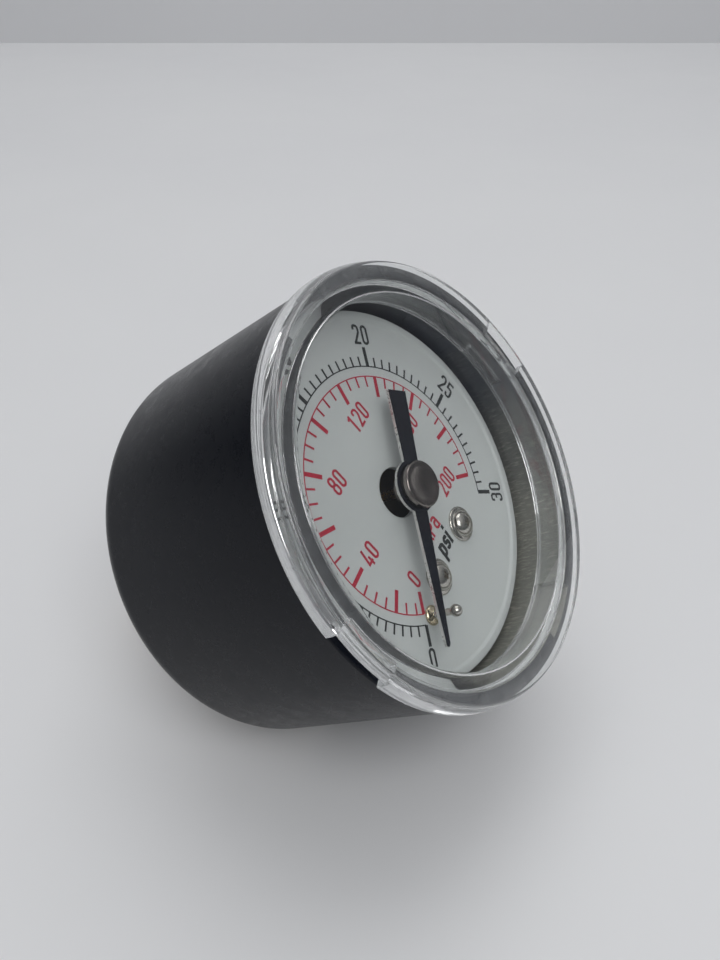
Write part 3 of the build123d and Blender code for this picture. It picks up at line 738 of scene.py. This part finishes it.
class Print:
    """Flat strokes in dial coordinates, collected as thin raised slabs of ink."""

    def __init__(self):
        self.bm = bmesh.new()
        self.level = 0

    def slab(self, left, right, closed):
        y1 = PRINT_Y - 0.0004 * (self.level % 5)
        self.level += 1
        y0 = DY + 0.01
        ring = []
        for (lx, lz), (rx, rz) in zip(left, right):
            ring.append([self.bm.verts.new((lx * MM, y * MM, lz * MM)) for y in (y0, y1)] + [self.bm.verts.new((rx * MM, y * MM, rz * MM)) for y in (y1, y0)])
        n = len(ring)
        for i in range(n if closed else n - 1):
            A, B = ring[i], ring[(i + 1) % n]
            for j in range(4):
                self.bm.faces.new((A[j], A[(j + 1) % 4], B[(j + 1) % 4], B[j]))
        if not closed:
            self.bm.faces.new(ring[0])
            self.bm.faces.new(ring[-1][::-1])

    def stroke(self, pts, s, closed, place):
        p = np.array(pts, float)
        n = len(p)
        left, right = [], []
        for i in range(n):
            if closed:
                d0, d1 = p[i] - p[i - 1], p[(i + 1) % n] - p[i]
            else:
                d0 = p[i] - p[i - 1] if i else p[1] - p[0]
                d1 = p[i + 1] - p[i] if i < n - 1 else p[-1] - p[-2]
            d0, d1 = d0 / np.linalg.norm(d0), d1 / np.linalg.norm(d1)
            n0, n1 = np.array([-d0[1], d0[0]]), np.array([-d1[1], d1[0]])
            m = n0 + n1
            k = 2 / max(float(m @ m), 0.55)
            m = m * k
            left.append(place(p[i] + m * s / 2))
            right.append(place(p[i] - m * s / 2))
        self.slab(left, right, closed)

    def sweep(self, r, a0, a1, w):
        n = max(6, int(abs(a1 - a0) / 1.5))
        an = [a0 + (a1 - a0) * i / n for i in range(n + 1)]
        self.slab([pol(r + w / 2, a) for a in an], [pol(r - w / 2, a) for a in an], False)

    def tick(self, a, r0, r1, w):
        c, s = math.cos(math.radians(a)), math.sin(math.radians(a))
        h = w / 2
        self.slab([(r0 * c - h * s, r0 * s + h * c), (r1 * c - h * s, r1 * s + h * c)], [(r0 * c + h * s, r0 * s - h * c), (r1 * c + h * s, r1 * s - h * c)], False)

    def word(self, text, cx, cz, turn, W, H, s, step, slant=0.0, widths=None, base=False):
        """text centred at (cx, cz) mm, turned by turn degrees counter-clockwise."""
        ws = [(widths or {}).get(ch, W) for ch in text]
        gap = step - W
        total = sum(ws) + gap * (len(text) - 1)
        x = -total / 2
        ct, st = math.cos(math.radians(turn)), math.sin(math.radians(turn))
        for ch, w in zip(text, ws):
            off = x

            def place(q, off=off):
                u, v = q[0] + off + slant * q[1], q[1] - (0 if base else H / 2)
                return (cx + u * ct - v * st, cz + u * st + v * ct)

            for pts, closed in glyph(ch, w, H, s):
                self.stroke(pts, s, closed, place)
            x += w + gap

    def done(self, name, mat):
        bmesh.ops.recalc_face_normals(self.bm, faces=self.bm.faces)
        me = bpy.data.meshes.new(name)
        self.bm.to_mesh(me)
        self.bm.free()
        me.materials.append(mat)
        ob = bpy.data.objects.new(name, me)
        bpy.context.scene.collection.objects.link(ob)
        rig.ride(ob, "gauge")
        return ob


PSI_DEG, AT_30, ZERO = 9.33, -45.0, 226.0
KPA = 0.1450377


def psi_at(v):
    return AT_30 + PSI_DEG * (30 - v)


B_ARC, B_MAJOR, B_MINOR, R_ARC, R_MAJOR, R_MINOR = 12.92, 14.95, 13.93, 11.88, 9.75, 10.78
black = Print()
black.sweep(B_ARC, psi_at(30), ZERO, 0.12)
black.tick(ZERO, B_ARC, B_MAJOR, 0.40)
for k in range(3, 61):
    v = k * 0.5
    if k % 10 == 0:
        black.tick(psi_at(v), B_ARC, B_MAJOR, 0.42)
    else:
        black.tick(psi_at(v), B_ARC, B_MINOR, 0.21)
for v in (5, 10, 15, 20, 25):
    a = psi_at(v)
    x, z = pol(16.28, a)
    black.word(str(v), x, z, a - 90, 0.93, 2.1, 0.27, 1.19)
for text, a in (("30", psi_at(30)), ("0", ZERO)):
    x, z = pol(16.12, a)
    black.word(text, x, z, a + 90, 0.93, 2.1, 0.27, 1.19)
black.word("psi", 0.05, -8.54, 0, 0.98, 1.48, 0.38, 1.12, slant=0.12, widths={"i": 0.38, "s": 0.86}, base=True)
black_ob = black.done("print_black", M_BLACK)

red = Print()
red.sweep(R_ARC, psi_at(200 * KPA), ZERO, 0.12)
red.tick(ZERO, R_MAJOR, R_ARC, 0.42)
for k in range(1, 41):
    v = k * 5
    a = psi_at(v * KPA)
    if a > ZERO - 2.5:
        continue
    if v % 20 == 0:
        red.tick(a, R_MAJOR, R_ARC, 0.43)
    else:
        red.tick(a, R_MINOR, R_ARC, 0.21)
for text, x, z in (("0", -6.14, -5.89), ("40", -7.98, -0.17), ("80", -4.92, 6.30), ("120", 2.72, 7.77), ("160", 7.35, 2.40), ("200", 6.30, -4.64)):
    red.word(text, x, z, 0, 0.86, 1.97, 0.25, 1.10)
red.word("kPa", 0.02, -6.22, 0, 0.86, 1.42, 0.26, 1.06, base=True)
red_ob = red.done("print_red", M_RED)
for o in (black_ob, red_ob):
    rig.slot(o, "dial_white")


# ------------------------------------------------------------- dial screws
def pan_screw(name, r, h, x, z, y_seat, out, mats, shank_r, shank_len, washer=False, turn=0.0):
    """Domed pan-head screw with a cross recess. out is -1 where its head points to -Y."""
    if washer:  # a dome on a washer-like collar
        q = r * 0.74
        dome = [(0, h), (q * 0.25, h * 0.985), (q * 0.45, h * 0.95), (q * 0.62, h * 0.885), (q * 0.77, h * 0.79), (q * 0.89, h * 0.66), (q * 0.97, h * 0.50), (q, h * 0.36), (q * 1.01, h * 0.30), (q * 1.05, h * 0.265)]
        dome += [(r * 0.90, h * 0.25), (r * 0.965, h * 0.22), (r * 0.995, h * 0.15), (r, h * 0.09), (r * 0.985, h * 0.02), (r * 0.97, 0)]
    else:
        dome = [(0, h), (r * 0.25, h * 0.985), (r * 0.45, h * 0.945), (r * 0.62, h * 0.87), (r * 0.76, h * 0.765), (r * 0.87, h * 0.63), (r * 0.95, h * 0.47), (r * 0.99, h * 0.32), (r, h * 0.2), (r * 0.995, h * 0.06), (r * 0.97, 0)]
    body = [(shank_r * 1.12, 0), (shank_r, -0.12), (shank_r, -(shank_len - 0.3)), (shank_r - 0.3, -shank_len), (0, -shank_len)]
    prof = [(a, out * b) for a, b in dome + body]
    ob = lathe(name, even(72, prof), mats, closed=False, sharp=50)
    bars = []
    k = 0.62 if washer else 1.0
    w, l, d = r * 0.13 * k, r * 0.52 * k, h * (0.5 if washer else 0.75)
    if True:
        for q in (0, 90):
            bm = bmesh.new()
            top, low = [], []
            for sx, sz in ((-1, -1), (1, -1), (1, 1), (-1, 1)):
                top.append(bm.verts.new((sx * l * MM, out * h * 1.3 * MM, sz * w * MM)))
                low.append(bm.verts.new((sx * l * 0.35 * MM, out * (h - d) * MM, sz * w * 0.5 * MM)))
            bm.faces.new(top)
            bm.faces.new(low[::-1])
            for i in range(4):
                j = (i + 1) % 4
                bm.faces.new((top[i], low[i], low[j], top[j]))
            c = finish_mesh(bm, "bar", [mats[0]], 30)
            c.data.transform(Matrix.Rotation(math.radians(q + turn), 4, "Y"))
            bars.append(c)
        ob = cut(ob, bars, sharp=50)
    return moved(ob, x, y_seat, z)


screws = joined("dial_screw_pair", [pan_screw("s%d" % i, 1.85, 1.05, sx * SCREW_X, SCREW_Z, DY - 0.005, -1, [M_NICKEL], 0.98, 4.2, washer=True, turn=20 + 31 * i) for i, sx in enumerate((-1, 1))])
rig.ride(screws, "gauge")
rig.replaces(screws, "dial_screws")
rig.slot(screws, "nickel")

back_screws = joined("case_screw_pair", [pan_screw("b%d" % i, 2.195, 1.3, sx * 9.6, 0, CASE_BACK + 0.005, 1, [M_STEEL], 1.22, 4.4, turn=12 + 40 * i) for i, sx in enumerate((-1, 1))])
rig.ride(back_screws, "gauge")
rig.replaces(back_screws, "case_screws")
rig.slot(back_screws, "steel")

# ------------------------------------------------------------- the stop pin
foot = DY  # the dial's front face
pin_prof = [(0, foot + 0.85), (0.72, foot + 0.85), (0.8, foot + 0.78), (0.8, foot + 0.5), (0.4, foot + 0.5), (0.4, foot), (0.94, foot), (1.0, foot - 0.04), (1.0, foot - 0.12), (0.9, foot - 0.24), (0.72, foot - 0.37), (0.5, foot - 0.47), (0.40, foot - 0.56), (0.36, foot - 0.68), (0.35, foot - 0.75)]
ball_c, ball_r = foot - 2.95, 0.6
a0 = math.degrees(math.asin(0.35 / ball_r))
pin_prof += [(0.35, ball_c + ball_r * math.cos(math.radians(a0)) + 0.08)]
pin_prof += [(max(0.0, ball_r * math.sin(math.radians(a))), ball_c + ball_r * math.cos(math.radians(a))) for a in np.linspace(a0, 180, 18)]
pin = moved(lathe("ball_stop_pin", even(48, pin_prof), [M_PIN, M_NICKEL], closed=False, sharp=50, face_mat=lambda j: 1 if j >= 12 else 0), PIN_X, 0, PIN_Z)
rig.ride(pin, "gauge")
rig.replaces(pin, "stop_pin")
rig.slot(pin, "nickel")

# --------------------------------------------------------------- the pointer
PY0, PY1 = -30.75, -31.1
outline = [(-9.62, -1.22), (-9.62, 1.22), (0, 0.92), (2.2, 0.9), (12.5, 0.42), (15.0, 0.26), (15.25, 0.10), (15.25, -0.10), (15.0, -0.26), (12.5, -0.42), (2.2, -0.9), (0, -0.92)]


def ray_to(a, pts):
    """Distance from the centre to the outline along angle a, for an outline that surrounds it."""
    d = np.array([math.cos(a), math.sin(a)])
    best = 0.0
    for i in range(len(pts)):
        p, q = np.array(pts[i]), np.array(pts[(i + 1) % len(pts)])
        e = q - p
        den = d[0] * -e[1] + d[1] * e[0]
        if abs(den) < 1e-12:
            continue
        t = (p[0] * -e[1] + p[1] * e[0]) / den
        u = (d[0] * p[1] - d[1] * p[0]) / den
        if t > 0 and -1e-9 <= u <= 1 + 1e-9:
            best = max(best, t)
    return best


angles = set(math.atan2(z, x) % (2 * math.pi) for x, z in outline)
for i in range(240):
    angles.add(2 * math.pi * i / 240)
DISC = 2.615
for side in (1, -1):  # where the blade and the tail leave the disc
    for lo, hi in ((0.02, 1.4), (1.8, math.pi - 0.02)):
        for _ in range(50):
            mid = (lo + hi) / 2
            inside = ray_to(side * mid % (2 * math.pi), outline) > DISC
            if (lo < 1.5) == inside:
                lo = mid
            else:
                hi = mid
        angles.add(side * mid % (2 * math.pi))
angles = sorted(angles)
bm = bmesh.new()
rings = []
for a in angles:
    r = max(ray_to(a, outline), DISC)
    c, s = math.cos(a + math.radians(225)), math.sin(a + math.radians(225))
    b = 0.03
    pts = [(0.8, PY1), (r - b, PY1), (r, PY1 + b), (r, PY0 - b), (r - b, PY0), (0.8, PY0)]
    rings.append([bm.verts.new((q * c * MM, y * MM, q * s * MM)) for q, y in pts])
for i in range(len(rings)):
    A, B = rings[i], rings[(i + 1) % len(rings)]
    for j in range(6):
        f = bm.faces.new((A[j], A[(j + 1) % 6], B[(j + 1) % 6], B[j]))
        f.material_index = 1 if j in (2, 3) else 0
pointer = finish_mesh(bm, "pointer_blade", [M_POINTER, M_EDGE], 30)
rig.ride(pointer, "pointer")
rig.replaces(pointer, "pointer")
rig.slot(pointer, "pointer_black")

HF, HR = -32.05, 2.3
hub_prof = [(0, HF + 0.03), (1.55, HF + 0.03), (1.62, HF), (HR - 0.22, HF)] + arc(HR - 0.18, HF + 0.18, 0.18, -90, 0, 6) + [(HR, HF + 0.22), (HR, PY1 - 0.08), (HR - 0.06, PY1 - 0.005), (0.78, PY1 - 0.005), (0.78, PY0 + 0.01), (1.33, PY0 + 0.01), (1.35, PY0 + 0.05), (1.35, -29.3), (1.15, -29.1), (0.5, -29.1), (0.5, -31.3), (0, -31.3)]
hub = lathe("pointer_hub_cap", even(96, hub_prof), [M_HUB], closed=False, sharp=40)
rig.ride(hub, "pointer")
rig.replaces(hub, "pointer_hub")
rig.slot(hub, "nickel")

# ---------------------------------------------------------------- the socket
socket_cad = NODES["socket"]
bm = bmesh.new()
bm.from_mesh(socket_cad.data)
bmesh.ops.remove_doubles(bm, verts=bm.verts, dist=1e-7)
cutting = bmesh.ops.bisect_plane(bm, geom=bm.verts[:] + bm.edges[:] + bm.faces[:], plane_co=(0, 0.00001, 0), plane_no=(0, 1, 0), clear_outer=True)
bmesh.ops.triangle_fill(bm, edges=[e for e in cutting["geom_cut"] if isinstance(e, bmesh.types.BMEdge)], use_beauty=True, use_dissolve=False)
socket = finish_mesh(bm, "socket_body", [M_BRASS], 25)
# a crisp border round each plane face, so its shading stays flat
plane = {}
for p in socket.data.polygons:
    if p.area > 0:
        key = (round(p.normal.x, 2), round(p.normal.y, 2), round(p.normal.z, 2), round(p.center.dot(p.normal), 5))
        plane.setdefault(key, []).append(p)
wide = {}
for key, ps in plane.items():
    for p in ps:
        wide[p.index] = key if sum(q.area for q in ps) > 6e-6 else None
sides_of = {}
for p in socket.data.polygons:
    for k in p.edge_keys:
        sides_of.setdefault(k, []).append(wide.get(p.index))
for e in socket.data.edges:
    if len(set(sides_of.get(e.key, []))) > 1:
        e.use_edge_sharp = True
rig.ride(socket, "gauge")
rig.replaces(socket, "socket")
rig.slot(socket, "brass")

TR, TP, TD, TL = 4.86, 0.907, 0.581, 10.495
ys = [0.0, 0.01] + list(np.arange(0.5, TL - 0.03, 0.035)) + [TL - 0.002]


def thread_r(a, y):
    phase = (y / TP - a / 360.0) % 1.0
    t = abs(phase - 0.5) * 2  # 0 at the root, 1 at the crest
    v = min(max((t - 0.10) / 0.72, 0.0), 1.0)
    depth = TD * (1 - v)
    grow = min(max((y - 1.1) / 0.9, 0.0), 1.0)
    r = TR - depth * grow
    return min(r, TR - 0.75 + (TL - y) * 1.0) if y > TL - 0.9 else r


cols = []
for i in range(144):
    a = 360.0 * i / 144
    cols.append((a, [(1.5, 0.0)] + [(thread_r(a, y), y) for y in ys] + [(TR - 0.78, TL), (1.85, TL), (1.5, TL - 0.35)]))
thread = lathe("socket_thread", cols, [M_STEM], closed=True, sharp=40)
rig.ride(thread, "gauge")
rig.slot(thread, "brass")

# ---------------------------------------------------------- the bourdon tube
def tube_piece(name, a0, a1):
    rad, ax, R, yc = 1.1, 3.5, 14.5, -21.0
    n = max(8, int(abs(a1 - a0) / 2))
    prof = [(R + rad * math.cos(t), yc + (ax - rad) + rad * math.sin(t)) for t in np.linspace(0, math.pi, 13)]
    prof += [(R + rad * math.cos(t), yc - (ax - rad) + rad * math.sin(t)) for t in np.linspace(math.pi, 2 * math.pi, 13)]
    flat = []
    for (r, y) in prof:  # the flats bow in by a hair, as a rolled tube's do
        k = 1 - min(1.0, abs(y - yc) / (ax - rad))
        flat.append((r - 0.10 * k * (1 if r > R else -1), y))
    out = []
    for i in range(len(flat)):
        p, q = flat[i], flat[(i + 1) % len(flat)]
        out.append(p)
        if abs(q[1] - p[1]) > 2:
            for k in range(1, 8):
                yy = p[1] + (q[1] - p[1]) * k / 8
                b = 0.10 * (1 - ((yy - yc) / (ax - rad)) ** 2)
                out.append((p[0] - b * (1 if p[0] > R else -1), yy))
    cols = [(a0 + (a1 - a0) * i / n, out) for i in range(n + 1)]
    return lathe(name, cols, [M_BRONZE], closed=True, sharp=50, ring=False)


tube_root = tube_piece("tube_root", 270.0, 180.0)
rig.ride(tube_root, "gauge")
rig.slot(tube_root, "bronze")
tube_free = tube_piece("tube_free", 180.0, -17.0)
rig.blend(tube_free, "gauge", "tube_end", start=(-0.0145, -0.021, 0), end=(0.0145, -0.021, 0))
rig.slot(tube_free, "bronze")
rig.replaces(tube_root, "bourdon_tube")
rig.replaces(tube_free, "bourdon_tube")

# ----------------------------------------------- carried-over CAD nodes
CARRIED = {
    "front_plate": M_FRONT, "rear_plate": M_PLATE, "sector_gear": M_PLATE,
    "plate_pillars": M_BRASS, "hairspring_stud": M_BRASS, "pinion_arbor": M_BRASS, "hairspring_collet": M_BRASS, "tube_tip": M_BRASS,
    "hairspring": M_BRONZE,
    "plate_screws": M_STEEL, "movement_screws": M_STEEL, "sector_arbor": M_STEEL, "link": M_STEEL, "link_tip_pin": M_STEEL, "link_tail_pin": M_STEEL,
}
for name, mat in CARRIED.items():
    ob = NODES[name]
    if len(ob.material_slots) == 0:
        ob.data.materials.append(mat)
    for sl in ob.material_slots:
        sl.material = mat

# ===================================================== stage, lights, camera
UP = Vector((0.1636, -0.6122, 0.7736)).normalized()
FORWARD = Vector((0.64158, 0.67093, -0.37179)).normalized()
CAM_UP = Vector((0.67626, -0.26600, 0.68697)).normalized()
RIGHT = FORWARD.cross(CAM_UP).normalized()
AHEAD = (FORWARD - UP * FORWARD.dot(UP)).normalized()
FLOOR_D = -9.80 * MM
BASE = UP * FLOOR_D


def at(right, ahead, up):
    return BASE + RIGHT * right + AHEAD * ahead + UP * up


def one_sided(g, shader):
    geo = g.node("ShaderNodeNewGeometry")
    see = g.node("ShaderNodeBsdfTransparent")
    mix = g.node("ShaderNodeMixShader")
    g.link(geo.outputs["Backfacing"], mix.inputs[0])
    g.link(shader, mix.inputs[1])
    g.link(see.outputs[0], mix.inputs[2])
    return mix.outputs[0]


g = Graph("stage_table")
color = g.ramp(g.noise(9, 3, 0.5), [(0.3, (0.775, 0.780, 0.792)), (0.7, (0.800, 0.805, 0.812))])
M_TABLE = g.done(one_sided(g, g.principled(color, g.span(g.noise(60, 3), 0.3, 0.7, 0.50, 0.62), normal=g.bump(g.noise(1500, 3), 0.06, 0.00005))))
g = Graph("stage_wall")
color = g.ramp(g.noise(6, 2), [(0.3, (0.73, 0.735, 0.75)), (0.7, (0.76, 0.765, 0.78))])
M_WALL = g.done(one_sided(g, g.principled(color, g.span(g.noise(30, 2), 0.3, 0.7, 0.7, 0.8))))


def stage_grid(name, corner, u, v, n, mat, rise=None):
    bm = bmesh.new()
    vs = [[bm.verts.new(corner + u * (i / n) + v * (j / n) + (rise(i / n, j / n) if rise else Vector())) for j in range(n + 1)] for i in range(n + 1)]
    for i in range(n):
        for j in range(n):
            bm.faces.new((vs[i][j], vs[i + 1][j], vs[i + 1][j + 1], vs[i][j + 1]))
    me = bpy.data.meshes.new(name)
    bm.to_mesh(me)
    bm.free()
    me.materials.append(mat)
    ob = bpy.data.objects.new(name, me)
    bpy.context.scene.collection.objects.link(ob)
    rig.stage(ob)
    return ob


EDGE = 0.42  # how far ahead the table ends
stage_grid("stage_floor", at(-1.2, -1.2, 0), RIGHT * 2.4, AHEAD * (1.2 + EDGE), 12, M_TABLE)
stage_grid("stage_backdrop", at(-0.8, EDGE, -0.0), RIGHT * 1.6, AHEAD * 0.25 + UP * 0.9, 12, M_WALL)

world = bpy.data.worlds.new("studio")
bpy.context.scene.world = world
world.use_nodes = True
wt = world.node_tree
for n in list(wt.nodes):
    wt.nodes.remove(n)
wout = wt.nodes.new("ShaderNodeOutputWorld")
bg = wt.nodes.new("ShaderNodeBackground")
wc = wt.nodes.new("ShaderNodeTexCoord")
dot = wt.nodes.new("ShaderNodeVectorMath")
dot.operation = "DOT_PRODUCT"
dot.inputs[1].default_value = UP
ramp = wt.nodes.new("ShaderNodeValToRGB")
half = wt.nodes.new("ShaderNodeMapRange")
half.inputs["From Min"].default_value = -1
half.inputs["From Max"].default_value = 1
wt.links.new(wc.outputs["Generated"], dot.inputs[0])
wt.links.new(dot.outputs["Value"], half.inputs["Value"])
wt.links.new(half.outputs["Result"], ramp.inputs["Fac"])
e = ramp.color_ramp.elements
e.new(0.5)
e.new(0.62)
for i, (p, c) in enumerate([(0.0, (0.16, 0.16, 0.17)), (0.50, (0.048, 0.051, 0.058)), (0.66, (0.090, 0.094, 0.103)), (1.0, (0.55, 0.555, 0.57))]):
    e[i].position = p
    e[i].color = (*c, 1)
wt.links.new(ramp.outputs["Color"], bg.inputs["Color"])
bg.inputs["Strength"].default_value = 1.0
wt.links.new(bg.outputs[0], wout.inputs["Surface"])


def softbox(name, place, aim, size, size_y, watts, color=(1, 1, 1)):
    lamp = bpy.data.lights.new(name, "AREA")
    lamp.shape = "RECTANGLE"
    lamp.size, lamp.size_y = size, size_y
    lamp.energy = watts
    lamp.color = color
    ob = bpy.data.objects.new(name, lamp)
    z = (place - aim).normalized()
    x = CAM_UP.cross(z).normalized()
    y = z.cross(x)
    ob.matrix_world = Matrix(((x[0], y[0], z[0], place[0]), (x[1], y[1], z[1], place[1]), (x[2], y[2], z[2], place[2]), (0, 0, 0, 1)))
    bpy.context.scene.collection.objects.link(ob)
    return ob


centre = at(0.0, 0.0, 0.02)
softbox("key_light", at(0.15, -0.40, 0.58), centre, 0.42, 0.38, 1.66, (1.0, 1.0, 1.0))
softbox("ceiling_light", at(0.00, 0.28, 0.70), centre, 0.60, 0.45, 1.30, (1.0, 1.0, 1.0))

cam_data = bpy.data.cameras.new("camera")
cam = bpy.data.objects.new("camera", cam_data)
bpy.context.scene.collection.objects.link(cam)
cam_data.sensor_width = 36.0
cam_data.lens = 31.38
cam_data.clip_start = 0.002
cam_data.clip_end = 10.0
loc = Vector((-52.50, -81.79, 33.23)) * MM
up = RIGHT.cross(FORWARD).normalized()
back = -FORWARD
cam.matrix_world = Matrix(((RIGHT[0], up[0], back[0], loc[0]), (RIGHT[1], up[1], back[1], loc[1]), (RIGHT[2], up[2], back[2], loc[2]), (0, 0, 0, 1)))
bpy.context.scene.camera = cam
bpy.context.scene.view_settings.view_transform = "Standard"
# enough bounces for light that is trapped in the clear window
bounce = bpy.context.scene.cycles
bounce.max_bounces, bounce.transmission_bounces, bounce.glossy_bounces = 24, 24, 16

size_at_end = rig.bounds()


def plain(v):
    if isinstance(v, dict):
        return {k: plain(x) for k, x in v.items()}
    if isinstance(v, (int, float, str, bool)) or v is None:
        return v
    return [plain(x) for x in v]


with open("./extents.json", "w") as f:
    json.dump({"load": plain(size_at_load), "finish": plain(size_at_end)}, f)
print("size at load", plain(size_at_load), "at finish", plain(size_at_end))
